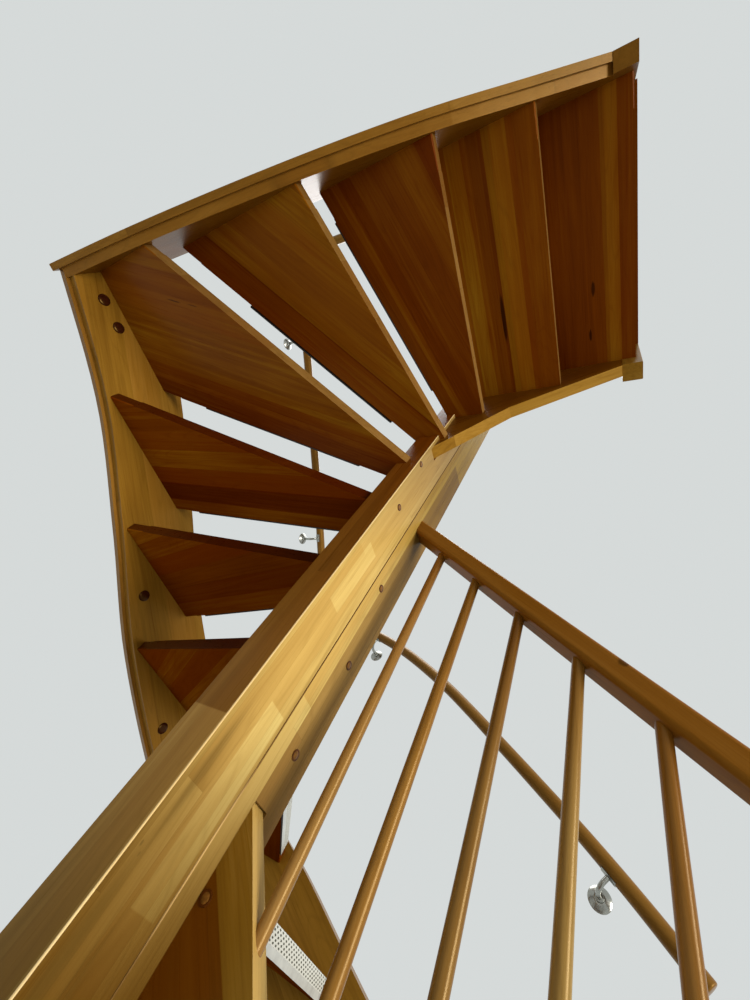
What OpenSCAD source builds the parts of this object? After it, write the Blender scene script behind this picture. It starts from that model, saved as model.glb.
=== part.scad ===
/* [Storey] */
// Height from the lower floor to the upper floor
storey_h = 2590; // [2450:5:2750]
// Distance from the newel centre to the inner face of each outer string
half_w = 865; // [800:5:950]
// Distance from the newel centre to the edge of the upper floor
floor_edge_x = 606; // [598:1:625]
// Going of the straight treads
going = 228; // [218:1:232]

/* [Treads] */
// Thickness of a tread
tread_t = 34; // [28:1:42]
// How far a straight tread runs back under the front of the next one
nosing = 48; // [35:1:55]
// How far a winder runs back under the front of the next tread
winder_nosing = 41; // [30:1:50]
// Depth of the housing cut for a tread in the strings and the newel
housing_d = 12; // [8:1:14]
// Chamfer along the front and back edges of a tread
edge_cut = 3; // [1:0.5:5]

/* [Stair mats] */
// Width of a stair mat
mat_w = 600; // [500:10:620]
// Distance from the newel side of a tread to the mat
mat_side = 122; // [110:1:130]
// Reach of a stair mat back over the tread
mat_reach = 170; // [120:5:180]
// Thickness of a stair mat
mat_t = 5; // [3:0.5:6]
// Depth of the mat's flap over the front of the tread
mat_flap = 34; // [24:1:38]

/* [Strings] */
// Thickness of an outer string
outer_string_t = 26; // [22:1:34]
// Thickness of the trim board between an outer string and the wall
wall_trim_t = 19; // [12:1:24]
// Thickness of an inner string
inner_string_t = 38; // [32:1:45]
// Height of a string above the nosing line
string_above = 57; // [40:1:75]
// Height of the lower inner string above the nosing line
lower_above = 45; // [35:1:60]
// Depth of an outer string below the back edge of a tread
outer_string_below = 10; // [4:1:20]
// Depth of an inner string below the back edge of a tread
inner_string_below = 42; // [30:1:60]
// Depth of the mortise that takes the end of an inner string in the newel
mortise_d = 8; // [5:1:12]
// Room left under the string's end in the mortise
mortise_room = 12; // [4:1:16]
// Depth of the wall trim below the outer string
wall_trim_drop = 12; // [2:1:16]
// Length of the block that ends the upper outer string
end_block_l = 57; // [45:1:62]
// Gap between that block and the edge of the upper floor
end_block_gap = 9; // [4:1:12]
// Depth of that block's foot below the last tread
end_block_drop = 63; // [50:1:80]

/* [Newel] */
// Thickness of each newel member, along the flights
newel_x = 73; // [66:1:85]
// Width of each newel member, across the flights
newel_y = 115; // [105:1:125]
// Height of the newel from the lower floor
newel_h = 3080; // [3040:5:3200]
// Set-back of the upper inner string from the face of the newel
upper_string_set = 12; // [6:1:18]
// Set-back of the lower inner string from the seam of the newel
lower_string_set = 38; // [30:1:48]
// Chamfer along the edges of the newel members and the end posts
newel_cut = 2; // [1:0.5:5]

/* [Balustrade] */
// Height of the handrail top above the nosing line
rail_above = 833; // [800:1:860]
// Width of the handrail
rail_w = 46; // [40:1:55]
// Depth of the handrail
rail_d = 43; // [36:1:60]
// Radius of the handrail's edges
rail_r = 9; // [3:1:14]
// Diameter of a baluster
baluster_d = 20; // [16:1:26]
// Distance from one baluster to the next
baluster_pitch = 105.5; // [100:0.5:110]
// Distance from the newel centre to the first baluster
first_baluster_x = 132; // [120:1:140]
// Size of the square end posts
post_s = 60; // [54:1:70]
// Height of the arrival post above the upper floor
arrival_post_h = 907; // [890:1:960]

/* [Wall handrail] */
// Diameter of the wall handrail
wall_rail_d = 40; // [34:1:45]
// Distance from the wall to the centre of the wall handrail
wall_rail_off = 77; // [70:1:85]
// Height of the wall handrail above the nosing line
wall_rail_above = 820; // [770:5:860]
// Diameter of the wall plate of a bracket
rosette_d = 56; // [50:1:70]
// Thickness of the wall plate of a bracket
rosette_t = 9; // [6:0.5:12]
// Diameter of the arm of a bracket
arm_d = 12; // [8:1:14]
// Distance from the arm of a bracket up to its saddle
arm_rise = 34; // [30:1:42]
// Length of the saddle under the handrail
saddle_l = 38; // [32:1:50]
// Width of the saddle
saddle_w = 20; // [16:1:26]
// Thickness of the saddle
saddle_t = 3; // [2:0.5:4]

/* [Fixings] */
// Diameter of a screw cap
cap_d = 36; // [28:1:40]
// Height of a screw cap
cap_h = 5; // [3:1:7]
// Diameter of a plug in the newel
plug_d = 18; // [12:1:20]
// Height of a plug
plug_h = 2; // [1:0.5:3]

/* [Hidden] */
$fn = 48;

rise_count = 14;
rise = storey_h / rise_count;
wall_d = half_w + outer_string_t + wall_trim_t;
board_color = [0.72, 0.48, 0.20];
dark_color = [0.30, 0.15, 0.06];
steel_color = [0.70, 0.71, 0.72];
// y of the outward faces of the two inner strings
upper_face_y = -newel_y + upper_string_set;
lower_face_y = lower_string_set + inner_string_t;
lower_rail_y = lower_string_set + inner_string_t / 2;
upper_rail_y = upper_face_y + inner_string_t / 2;
// front edges of the treads: outer end and inner end, one pair for each rise
first_straight_x = 0.098 * half_w;
third_x = 0.287 * half_w;
fronts = [
    [[third_x + 2 * going, half_w], [third_x + 2 * going, lower_face_y]],
    [[third_x + going, half_w], [third_x + going, lower_face_y]],
    [[third_x, half_w], [third_x, lower_face_y]],
    [[-0.125 * half_w, half_w], [0.2 * newel_x, newel_y]],
    [[-0.485 * half_w, half_w], [-0.11 * newel_x, newel_y]],
    [[-half_w, 0.855 * half_w], [-newel_x / 2, newel_y]],
    [[-half_w, 0.303 * half_w], [-newel_x / 2, 0.58 * newel_y]],
    [[-half_w, -0.109 * half_w], [-newel_x / 2, 0.09 * newel_y]],
    [[-half_w, -0.549 * half_w], [-newel_x / 2, -0.49 * newel_y]],
    [[-0.784 * half_w, -half_w], [-newel_x / 2, -0.81 * newel_y]],
    [[-0.271 * half_w, -half_w], [0.1 * newel_x, -newel_y]],
    [[first_straight_x, -half_w], [first_straight_x, upper_face_y]],
    [[first_straight_x + going, -half_w], [first_straight_x + going, upper_face_y]],
    [[first_straight_x + 2 * going, -half_w], [first_straight_x + 2 * going, upper_face_y]]];

function unit(v) = v / norm(v);
function climb_normal(l) = let (d = unit(l[1] - l[0])) [d[1], -d[0]];
function shifted(l, a) = [l[0] + a * climb_normal(l), l[1] + a * climb_normal(l)];
function at_x(l, x) = l[0][1] + (x - l[0][0]) * (l[1][1] - l[0][1]) / (l[1][0] - l[0][0]);
function at_y(l, y) = l[0][0] + (y - l[0][1]) * (l[1][0] - l[0][0]) / (l[1][1] - l[0][1]);
function front(k) = fronts[k - 1];
first_winder = 4;
last_winder = 10;
function overlap(k) = k < first_winder || k > last_winder ? nosing : winder_nosing;
function back(k) = shifted(front(k + 1), overlap(k));
// distance along the three walls, from the middle of the side wall, of a line's outer end
function run_lower(x) = -2 * half_w - x;
function run_upper(x) = 2 * half_w + x;
near_wall = 200;
corner_room = 60;
function outer_run(l) =
    l[0][0] < corner_room - half_w ? -at_x(l, -half_w)
    : abs(l[0][1] - half_w) < near_wall ? run_lower(at_y(l, half_w))
    : run_upper(at_y(l, -half_w));
nosing_runs = [for (k = [1 : rise_count]) [outer_run(front(k)), k * rise]];
// the top edge of the outer strings dips at the first corner and stays lower along the side wall
corner_tread = 5;
corner_dip = 37;
side_dip = 24;
function top_dip(k) = k == corner_tread ? corner_dip : k > corner_tread && k < 10 ? side_dip : 0;
top_runs = [for (k = [1 : rise_count]) nosing_runs[k - 1] + [0, string_above - top_dip(k)]];
back_runs = [for (k = [1 : rise_count - 1])
    [outer_run(back(k)), k * rise - tread_t - outer_string_below]];

// smooth line through points [run, height], with slopes taken from the neighbours
function slope_at(p, i) = let (a = max(i - 1, 0), b = min(i + 1, len(p) - 1))
    (p[b][1] - p[a][1]) / (p[b][0] - p[a][0]);
function piece_of(p, s, i = 0) = i >= len(p) - 2 || s < p[i + 1][0] ? i : piece_of(p, s, i + 1);
function curve_z(p, s) =
    s <= p[0][0] ? p[0][1] + (s - p[0][0]) * slope_at(p, 0)
    : s >= p[len(p) - 1][0] ? p[len(p) - 1][1] + (s - p[len(p) - 1][0]) * slope_at(p, len(p) - 1)
    : let (i = piece_of(p, s), h = p[i + 1][0] - p[i][0], t = (s - p[i][0]) / h)
        (2 * t * t * t - 3 * t * t + 1) * p[i][1] + (t * t * t - 2 * t * t + t) * h * slope_at(p, i)
        + (3 * t * t - 2 * t * t * t) * p[i + 1][1] + (t * t * t - t * t) * h * slope_at(p, i + 1);
curve_step = 60;
function steps(a, b, step = curve_step) =
    let (n = max(2, ceil(abs(b - a) / step))) [for (i = [0 : n]) a + (b - a) * i / n];

// edges of the inner strings in elevation: pitch lines, steeper near the newel
pitch = rise / going;
newel_face = newel_x / 2;
upper_bend_slope = 1.48;
bend_low_ahead = 132;
bend_top_ahead = 12;
upper_bend_low = first_straight_x + bend_low_ahead;
upper_bend_top = first_straight_x + bend_top_ahead;
lower_bend_slope = 1.08;
lower_bend = 0.7 * third_x;
inner_low = tread_t + inner_string_below + (going + nosing) * pitch;
function bent(x, x_bend, z_bend, slope, slope_near) =
    z_bend + (x - x_bend) * (x < x_bend ? slope_near : slope);
function upper_line(x) = 12 * rise + (x - first_straight_x) * pitch;
function upper_low(x) =
    bent(x, upper_bend_low, upper_line(upper_bend_low) - inner_low, pitch, upper_bend_slope);
function upper_top(x) =
    bent(x, upper_bend_top, upper_line(upper_bend_top) + string_above, pitch, upper_bend_slope);
function lower_line(x) = 3 * rise + (third_x - x) * pitch;
function lower_top(x) =
    bent(x, lower_bend, lower_line(lower_bend) + lower_above, -pitch, -lower_bend_slope);
function lower_low(x) =
    max(0, bent(x, lower_bend, lower_line(lower_bend) - inner_low, -pitch, -lower_bend_slope));
lower_foot_x = lower_bend + (lower_line(lower_bend) - inner_low) / pitch;

// outline of a tread in plan, run out past the faces it is housed in
module wedge(k) {
    f = front(k);
    b = back(k);
    df = unit(f[1] - f[0]);
    db = unit(b[1] - b[0]);
    out = 40;
    corner = half_w + corner_room;
    turn = k == 5 ? [[-corner, corner]] : k == 9 ? [[-corner, -corner]] : [];
    polygon(concat([f[1] + out * df, f[0] - out * df], turn, [b[0] - out * db, b[1] + out * db]));
}

// triangular bar along a line in plan that cuts a chamfer: ahead is 1 on a front edge and -1 on a back
// edge, up is 1 on a top edge and -1 on a bottom edge
module edge_bar(l, z, ahead, up) {
    d = l[1] - l[0];
    over = 80;
    far = 2 * edge_cut;
    translate([l[0][0], l[0][1], z]) rotate([90, 0, atan2(d[1], d[0]) + 90])
        translate([0, 0, -norm(d) - over]) linear_extrude(norm(d) + 2 * over)
            polygon([[-ahead * far, up * (far - edge_cut)], [ahead * (far - edge_cut), -up * far],
                [ahead * far, up * far]]);
}

module tread_solid(k) {
    reach = half_w + housing_d;
    z0 = k * rise - tread_t;
    difference() {
        intersection() {
            translate([0, 0, z0]) linear_extrude(tread_t) wedge(k);
            translate([-reach, -reach, z0 - 1]) cube([4 * half_w, 2 * reach, tread_t + 2]);
        }
        for (up = [-1, 1]) {
            edge_bar(front(k), z0 + (up + 1) / 2 * tread_t, 1, up);
            edge_bar(back(k), z0 + (up + 1) / 2 * tread_t, -1, up);
        }
        translate([-newel_x / 2 + housing_d, -newel_y + housing_d, z0 - 1])
            cube([newel_x - housing_d, 2 * (newel_y - housing_d), tread_t + 2]);
        translate([0, upper_face_y + housing_d, z0 - 1])
            cube([4 * half_w, lower_face_y - upper_face_y - 2 * housing_d, tread_t + 2]);
    }
}

module tread(k) {
    color(board_color) tread_solid(k);
}

// board standing on edge along x, given its top and low edges as lists of [x, z]
module edge_board_x(top, low, y0, t) {
    translate([0, y0 + t, 0]) rotate([90, 0, 0]) linear_extrude(t) polygon(concat(top, low));
}

function upper_run_edge(p, x0, x1, dz) = [for (x = steps(x0, x1)) [x, curve_z(p, run_upper(x)) + dz]];
function lower_run_edge(p, x0, x1, dz) =
    [for (x = steps(x0, x1)) [x, max(0, curve_z(p, run_lower(x)) + dz)]];
function side_run_edge(p, y0, y1, dz) = [for (y = steps(y0, y1)) [y, curve_z(p, -y) + dz]];
// the outer strings run on past the first nosing
string_foot = 12;
string_end_x = front(1)[0][0] + string_foot;
end_block_x = floor_edge_x - end_block_gap - end_block_l;

module string_upper_board(y_face, t, x0, dz) {
    edge_board_x(upper_run_edge(top_runs, x0, end_block_x, 0),
        upper_run_edge(back_runs, end_block_x, x0, -dz), y_face - t, t);
}

module string_lower_board(y_face, t, x0, dz) {
    edge_board_x(lower_run_edge(top_runs, x0, string_end_x, 0),
        lower_run_edge(back_runs, string_end_x, x0, -dz), y_face, t);
}

module string_side_board(x_face, t, y0, y1, dz) {
    translate([x_face, 0, 0]) rotate([90, 0, -90]) mirror([1, 0, 0]) linear_extrude(t)
        polygon(concat(side_run_edge(top_runs, y0, y1, 0),
            side_run_edge(back_runs, y1, y0, -dz)));
}

module outer_string_lower() {
    color(board_color) difference() {
        string_lower_board(half_w, outer_string_t, -half_w - outer_string_t, 0);
        for (k = [1 : 5]) tread_solid(k);
    }
}

module outer_string_side() {
    color(board_color) difference() {
        string_side_board(-half_w, outer_string_t, -half_w, half_w, 0);
        for (k = [5 : 9]) tread_solid(k);
    }
}

module outer_string_upper() {
    color(board_color) difference() {
        string_upper_board(-half_w, outer_string_t, -half_w - outer_string_t, 0);
        for (k = [9 : 13]) tread_solid(k);
    }
}

module wall_trim_lower() {
    color(board_color) string_lower_board(half_w + outer_string_t, wall_trim_t, -wall_d, wall_trim_drop);
}

module wall_trim_side() {
    color(board_color) string_side_board(-half_w - outer_string_t, wall_trim_t,
        -half_w - outer_string_t, half_w + outer_string_t, wall_trim_drop);
}

module wall_trim_upper() {
    color(board_color) string_upper_board(-half_w - outer_string_t, wall_trim_t, -wall_d, wall_trim_drop);
}

end_block_z = 13 * rise - tread_t - end_block_drop;

// upright block between the end of the outer string and the floor's edge
module string_end_block() {
    x1 = end_block_x + end_block_l;
    top = [for (x = [end_block_x, x1]) [x, curve_z(top_runs, run_upper(x))]];
    color(board_color) difference() {
        edge_board_x(top, [[x1, end_block_z], [end_block_x, end_block_z]], -wall_d, wall_d - half_w);
        tread_solid(13);
        landing_solid();
    }
}

// outline of an inner string's end in the newel, and the whole board
module upper_inner_board(x0, x1) {
    edge_board_x([for (x = [x0, upper_bend_top, x1]) [x, upper_top(x)]],
        [for (x = [x1, upper_bend_low, x0]) [x, upper_low(x)]], upper_face_y, inner_string_t);
}

module inner_string_upper() {
    color(board_color) difference() {
        upper_inner_board(newel_face - mortise_d, floor_edge_x - post_s);
        for (k = [10 : 13]) tread_solid(k);
    }
}

module inner_string_lower() {
    x0 = newel_face - mortise_d;
    x1 = start_post_x;
    color(board_color) difference() {
        edge_board_x([for (x = [x0, lower_bend, x1]) [x, lower_top(x)]],
            concat([[x1, 0]], [for (x = [lower_foot_x, lower_bend, x0]) [x, lower_low(x)]]),
            lower_string_set, inner_string_t);
        for (k = [1 : 4]) tread_solid(k);
    }
}

// landing board between the end block and the arrival post, from the last rise to the floor's edge
module landing_solid() {
    x0 = front(rise_count)[0][0];
    translate([x0, -half_w - housing_d, storey_h - tread_t])
        cube([floor_edge_x - x0, half_w + upper_face_y + housing_d, tread_t]);
}

module landing_board() {
    color(board_color) landing_solid();
}

// rectangle with its corners cut off
module cut_rect(w, d, cut) {
    polygon([[cut, 0], [w - cut, 0], [w, cut], [w, d - cut],
        [w - cut, d], [cut, d], [0, d - cut], [0, cut]]);
}

module newel_member(y0) {
    translate([-newel_x / 2, y0, 0]) linear_extrude(newel_h) cut_rect(newel_x, newel_y, newel_cut);
}

// mortise for the end of an inner string, open below the string's end
module mortise(y0, z0, z1) {
    translate([newel_face - mortise_d, y0, z0]) cube([mortise_d + 1, inner_string_t, z1 - z0]);
}

module newel_upper() {
    x0 = newel_face - mortise_d;
    color(board_color) difference() {
        newel_member(-newel_y);
        for (k = [6 : 12]) tread_solid(k);
        mortise(upper_face_y, upper_low(x0) - mortise_room, upper_top(x0));
        upper_inner_board(x0, newel_face + 1);
    }
}

module newel_lower() {
    x0 = newel_face - mortise_d;
    color(board_color) difference() {
        newel_member(0);
        for (k = [3 : 9]) tread_solid(k);
        mortise(lower_string_set, lower_low(newel_face), lower_top(x0));
    }
}

// the first nosing stands proud of the start post, and the post tops the handrail
start_post_set = 20;
start_post_over = 40;
start_post_x = front(1)[0][0] - start_post_set;
start_post_h = rise + rail_above + start_post_over;

// square post standing at a corner, its top edges cut off
module post(x0, y0, z0, z1) {
    translate([x0, y0, z0]) intersection() {
        linear_extrude(z1 - z0) cut_rect(post_s, post_s, newel_cut);
        translate([0, post_s, 0]) rotate([90, 0, 0]) linear_extrude(post_s) post_side(z1 - z0);
        rotate([90, 0, 90]) linear_extrude(post_s) post_side(z1 - z0);
    }
}
module post_side(h) {
    polygon([[0, 0], [post_s, 0], [post_s, h - newel_cut], [post_s - newel_cut, h],
        [newel_cut, h], [0, h - newel_cut]]);
}

module start_post() {
    color(board_color) difference() {
        post(start_post_x, lower_rail_y - post_s / 2, 0, start_post_h);
        tread_solid(1);
    }
}

// the arrival post's foot hangs a little lower than the end block
arrival_foot_drop = 6;
module arrival_solid() {
    post(floor_edge_x - post_s, upper_face_y, end_block_z - arrival_foot_drop, storey_h + arrival_post_h);
}

module arrival_post() {
    color(board_color) difference() {
        arrival_solid();
        tread_solid(13);
    }
}

// cross-section of the handrail, its top at zero
module rail_profile() {
    translate([-rail_w / 2 + rail_r, -rail_d]) square([rail_w - 2 * rail_r, rail_d]);
    translate([-rail_w / 2, -rail_d + rail_r]) square([rail_w, rail_d - 2 * rail_r]);
    for (x = [-1, 1])
        for (y = [-rail_r, rail_r - rail_d])
            translate([x * (rail_w / 2 - rail_r), y]) circle(r = rail_r);
}

// straight handrail between two upright planes, its top edge at given heights
module straight_rail(x0, z0, x1, z1, yc) {
    run = norm([x1 - x0, z1 - z0]);
    over = rail_d;
    intersection() {
        translate([x0, yc, z0]) rotate([0, -atan2(z1 - z0, x1 - x0), 0])
            translate([-over, 0, 0]) rotate([90, 0, 90]) linear_extrude(run + 2 * over) rail_profile();
        translate([x0, yc - rail_w, min(z0, z1) - 3 * rail_d])
            cube([x1 - x0, 2 * rail_w, abs(z1 - z0) + 6 * rail_d]);
    }
}

lower_rail_z0 = 2 * rise + rail_above + (front(2)[0][0] - newel_face) * pitch;
lower_rail_z1 = 2 * rise + rail_above + (front(2)[0][0] - start_post_x) * pitch;
upper_rail_z0 = 13 * rise + rail_above - (front(13)[0][0] - newel_face) * pitch;
upper_rail_z1 = 13 * rise + rail_above - (front(13)[0][0] - floor_edge_x + post_s) * pitch;

module handrail_lower() {
    color(board_color) straight_rail(newel_face, lower_rail_z0, start_post_x, lower_rail_z1, lower_rail_y);
}

module handrail_upper() {
    color(board_color)
        straight_rail(newel_face, upper_rail_z0, floor_edge_x - post_s, upper_rail_z1, upper_rail_y);
}

// upright round bar between a sloping string edge and the underside of a handrail
module baluster(x, yc, z0, slope0, z1, slope1) {
    r = baluster_d;
    translate([x, yc, 0]) difference() {
        translate([0, 0, z0 - r]) cylinder(d = baluster_d, h = z1 - z0 + 2 * r);
        rotate([90, 0, 0]) linear_extrude(2 * r, center = true) {
            polygon([[-r, z0 - 2 * r], [r, z0 - 2 * r], [r, z0 + r * slope0], [-r, z0 - r * slope0]]);
            polygon([[-r, z1 + 2 * r], [r, z1 + 2 * r], [r, z1 + r * slope1], [-r, z1 - r * slope1]]);
        }
    }
}

rail_drop = rail_d / cos(atan(pitch));

module balusters_lower() {
    color(board_color)
        for (x = [first_baluster_x : baluster_pitch : start_post_x - baluster_pitch / 3])
            baluster(x, lower_rail_y, lower_top(x), x < lower_bend ? -lower_bend_slope : -pitch,
                lower_rail_z0 - (x - newel_face) * pitch - rail_drop, -pitch);
}

module balusters_upper() {
    color(board_color)
        for (x = [first_baluster_x : baluster_pitch : floor_edge_x - post_s - baluster_pitch / 3])
            baluster(x, upper_rail_y, upper_top(x), pitch,
                upper_rail_z0 + (x - newel_face) * pitch - rail_drop, pitch);
}

// the wall handrail flows more smoothly than the nosing line:
// its height over each nosing, less the usual height
rail_wall_y = wall_d - wall_rail_off;
wall_rail_flow = [-7, 0, -17, 40, 2, -36, 20, 12, 14, -4, 0, 0, 0, 0];
wall_rail_runs = [for (k = [1 : rise_count])
    nosing_runs[k - 1] + [0, wall_rail_above + wall_rail_flow[k - 1]]];
function wall_z(s) = curve_z(wall_rail_runs, s);
wall_rail_end_set = 60;
wall_rail_end_lower = front(1)[0][0] - wall_rail_end_set;
wall_rail_end_upper = floor_edge_x - wall_rail_end_set;

// round bar swept through points in one upright plane, side being that plane's level normal
bar_sides = 20;
function tangent(p, i) = unit(p[min(i + 1, len(p) - 1)] - p[max(i - 1, 0)]);
function bar_ring(p, i, side, d) = let (up = cross(tangent(p, i), side))
    [for (j = [0 : bar_sides - 1]) p[i] + d / 2
        * (cos(360 * j / bar_sides) * side + sin(360 * j / bar_sides) * up)];
module swept_bar(p, side, d = wall_rail_d) {
    n = bar_sides;
    polyhedron([for (i = [0 : len(p) - 1]) each bar_ring(p, i, side, d)],
        concat([[for (j = [0 : n - 1]) j]],
            [for (i = [0 : len(p) - 2], j = [0 : n - 1])
                [i * n + j, i * n + n + j, i * n + n + (j + 1) % n, i * n + (j + 1) % n]],
            [[for (j = [n - 1 : -1 : 0]) (len(p) - 1) * n + j]]));
}

// room between the ends of two wall handrails at a corner
wall_rail_gap = 45;
bar_step = 120;
corner_end = rail_wall_y - wall_rail_gap;
lower_pts = [for (x = steps(wall_rail_end_lower, -corner_end, bar_step))
    [x, rail_wall_y, wall_z(run_lower(x))]];
side_pts = [for (y = steps(corner_end, -corner_end, bar_step))
    [-rail_wall_y, y, wall_z(-y)]];
upper_pts = [for (x = steps(-corner_end, wall_rail_end_upper, bar_step))
    [x, -rail_wall_y, wall_z(run_upper(x))]];

module wall_handrail_lower() {
    color(board_color) swept_bar(lower_pts, [0, 1, 0]);
}

module wall_handrail_side() {
    color(board_color) swept_bar(side_pts, [1, 0, 0]);
}

module wall_handrail_upper() {
    color(board_color) swept_bar(upper_pts, [0, 1, 0]);
}

// bracket on the wall of the lower flight, square to a handrail that falls by a slope towards +x and
// passes through height z: conical wall plate with a collar, arm that dips and bends up, and saddle
plate_rim = 2;
arm_shape = [[0.94, 0], [0.72, -0.04], [0.5, -0.12], [0.3, -0.08], [0.13, 0.12], [0.03, 0.4], [0, 0.95]];
arm_line = [for (p = arm_shape) [0, p[0] * wall_rail_off, p[1] * arm_rise]];
module bracket(z, slope) {
    translate([0, rail_wall_y, z]) rotate([0, atan(slope), 0])
        translate([0, 0, -wall_rail_d / 2 - arm_rise]) {
            translate([0, wall_rail_off, 0]) rotate([90, 0, 0]) {
                cylinder(d = rosette_d, h = plate_rim);
                translate([0, 0, plate_rim])
                    cylinder(d1 = rosette_d, d2 = 2 * arm_d, h = rosette_t - plate_rim);
                cylinder(d = 1.7 * arm_d, h = 2 * rosette_t);
            }
            swept_bar(arm_line, [1, 0, 0], arm_d);
            translate([-saddle_l / 2, -saddle_w / 2, arm_rise - saddle_t])
                cube([saddle_l, saddle_w, 2 * saddle_t]);
        }
}

// fall of the wall handrail at a run, over a short length
function wall_fall(s) = (wall_z(s + bar_step / 2) - wall_z(s - bar_step / 2)) / bar_step;

module bracket_at(s) {
    bracket(wall_z(s), wall_fall(s));
}

module handrail_brackets() {
    color(steel_color) difference() {
        union() {
            for (x = [0.554, -0.54] * half_w)
                translate([x, 0, 0]) bracket_at(run_lower(x));
            for (y = [0.53, -0.517] * half_w)
                rotate([0, 0, 90]) translate([y, 0, 0]) bracket_at(-y);
            for (x = [-0.55, 0.44] * half_w)
                rotate([0, 0, 180]) translate([-x, 0, 0]) bracket_at(run_upper(x));
        }
        wall_handrail_lower();
        wall_handrail_side();
        wall_handrail_upper();
    }
}

// rounded cap standing on a face, its base at z = 0
module dome(d, h) {
    rotate_extrude() polygon(concat([[0, 0]],
        [for (a = [0 : 22.5 : 90]) [d / 2 - h * (1 - cos(a)), h * sin(a)]], [[0, h]]));
}

// caps over the wall screws of the side string: share of half_w from the middle, tread, depth below its top
side_caps = [[-0.911, 9, 0.38], [-0.813, 9, 0.39], [0.102, 7, 0.58], [0.60, 6, 0.65]];

module screw_caps() {
    color(dark_color) for (c = side_caps)
        translate([-half_w, c[0] * half_w, (c[1] - c[2]) * rise]) rotate([0, 90, 0]) dome(cap_d, cap_h);
}

// plugs over the screws that hold treads to the newel: share of newel_y from the seam, tread
newel_plugs_at = [[-0.88, 9], [-0.63, 8], [0.29, 7], [0.62, 6], [0.57, 5]];
plug_depth = 0.7 * tread_t;

module newel_plugs() {
    color(dark_color) {
        for (p = newel_plugs_at)
            translate([newel_face, p[0] * newel_y, p[1] * rise - plug_depth])
                rotate([0, 90, 0]) dome(plug_d, plug_h);
        translate([newel_face + 0.6 * plug_d, lower_string_set, 4 * rise - tread_t])
            rotate([90, 0, 0]) dome(plug_d, plug_h);
    }
}

// how far a mat lies from its usual place, along its tread and ahead of it
mat_shifts = [0, 0, 0, 0, 0, 0, 0, 0, 19, -6, -23, 0, 0];
mat_leads = [0, 0, 0, 0, 0, 0, 0, 0, 0, 4, 0, 0, 0];

// stair mat with a rounded back, its flap over the front of a tread
module mat(k) {
    l = shifted(front(k), -mat_leads[k - 1]);
    d = unit(l[0] - l[1]);
    n = climb_normal(l);
    mid = l[1] + d * (mat_side + mat_shifts[k - 1] + mat_w / 2);
    rear = [for (a = [0 : 7.5 : 180])
        mid + mat_w / 2 * cos(a) * d + (mat_t + (mat_reach - mat_t) * pow(sin(a), 0.8)) * n];
    difference() {
        translate([0, 0, k * rise - mat_flap]) linear_extrude(mat_flap + mat_t)
            polygon(concat(rear, [mid - mat_w / 2 * d - mat_t * n, mid + mat_w / 2 * d - mat_t * n]));
        translate([0, 0, k * rise - mat_flap - 1]) linear_extrude(mat_flap + 1)
            polygon([mid - mat_w * d, mid + mat_w * d, mid + mat_w * d + 2 * mat_reach * n,
                mid - mat_w * d + 2 * mat_reach * n]);
    }
}

module stair_mats() {
    color([0.75, 0.75, 0.73]) for (k = [1 : rise_count - 1]) mat(k);
}

module tread_01() { tread(1); }
module tread_02() { tread(2); }
module tread_03() { tread(3); }
module tread_04() { tread(4); }
module tread_05() { tread(5); }
module tread_06() { tread(6); }
module tread_07() { tread(7); }
module tread_08() { tread(8); }
module tread_09() { tread(9); }
module tread_10() { tread(10); }
module tread_11() { tread(11); }
module tread_12() { tread(12); }
module tread_13() { tread(13); }

newel_upper();
newel_lower();
outer_string_lower();
outer_string_side();
outer_string_upper();
wall_trim_lower();
wall_trim_side();
wall_trim_upper();
inner_string_lower();
inner_string_upper();
string_end_block();
tread_01();
tread_02();
tread_03();
tread_04();
tread_05();
tread_06();
tread_07();
tread_08();
tread_09();
tread_10();
tread_11();
tread_12();
tread_13();
landing_board();
start_post();
arrival_post();
handrail_lower();
handrail_upper();
balusters_lower();
balusters_upper();
wall_handrail_lower();
wall_handrail_side();
wall_handrail_upper();
handrail_brackets();
screw_caps();
newel_plugs();
stair_mats();
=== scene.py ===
import math

import bmesh
import bpy
from mathutils import Matrix, Vector


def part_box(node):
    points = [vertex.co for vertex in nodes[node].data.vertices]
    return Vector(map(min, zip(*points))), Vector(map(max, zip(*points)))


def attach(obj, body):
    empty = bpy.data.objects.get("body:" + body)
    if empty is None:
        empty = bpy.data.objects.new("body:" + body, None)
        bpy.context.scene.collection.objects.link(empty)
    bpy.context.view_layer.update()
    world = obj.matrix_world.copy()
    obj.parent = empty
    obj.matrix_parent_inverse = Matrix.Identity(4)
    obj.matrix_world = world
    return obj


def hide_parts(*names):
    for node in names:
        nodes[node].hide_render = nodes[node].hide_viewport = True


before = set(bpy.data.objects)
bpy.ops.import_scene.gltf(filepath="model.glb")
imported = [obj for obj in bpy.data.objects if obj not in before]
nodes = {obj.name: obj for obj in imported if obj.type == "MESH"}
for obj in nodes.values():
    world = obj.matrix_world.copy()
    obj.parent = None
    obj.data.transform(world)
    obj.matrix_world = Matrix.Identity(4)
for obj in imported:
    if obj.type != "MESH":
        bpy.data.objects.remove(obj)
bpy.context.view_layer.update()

UP = Vector((0, 0, 1))

# Lengths are in metres. Staves: width and length, where 90 stands for a stave as long as its board
TREAD_STAVE = (0.065, 90.0)
STRING_STAVE = (0.095, 90.0)
POST_STAVE = (0.0385, 1.3)
RAIL_STAVE = (0.060, 90.0)
BALUSTER_STAVE = (0.1055, 90.0)

# Shine of the varnish, and of faces whose varnish has gone dull
SHINE = 0.35
LOW_SHINE = 0.12
FAINT_SHINE = 0.03

# How far edges are rounded over
SOFT_EDGE = 0.0016
STRING_EDGE = 0.0022
INNER_EDGE = 0.0018
POST_EDGE = 0.0008
POST_EDGE_SHORTEST = 0.2

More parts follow.
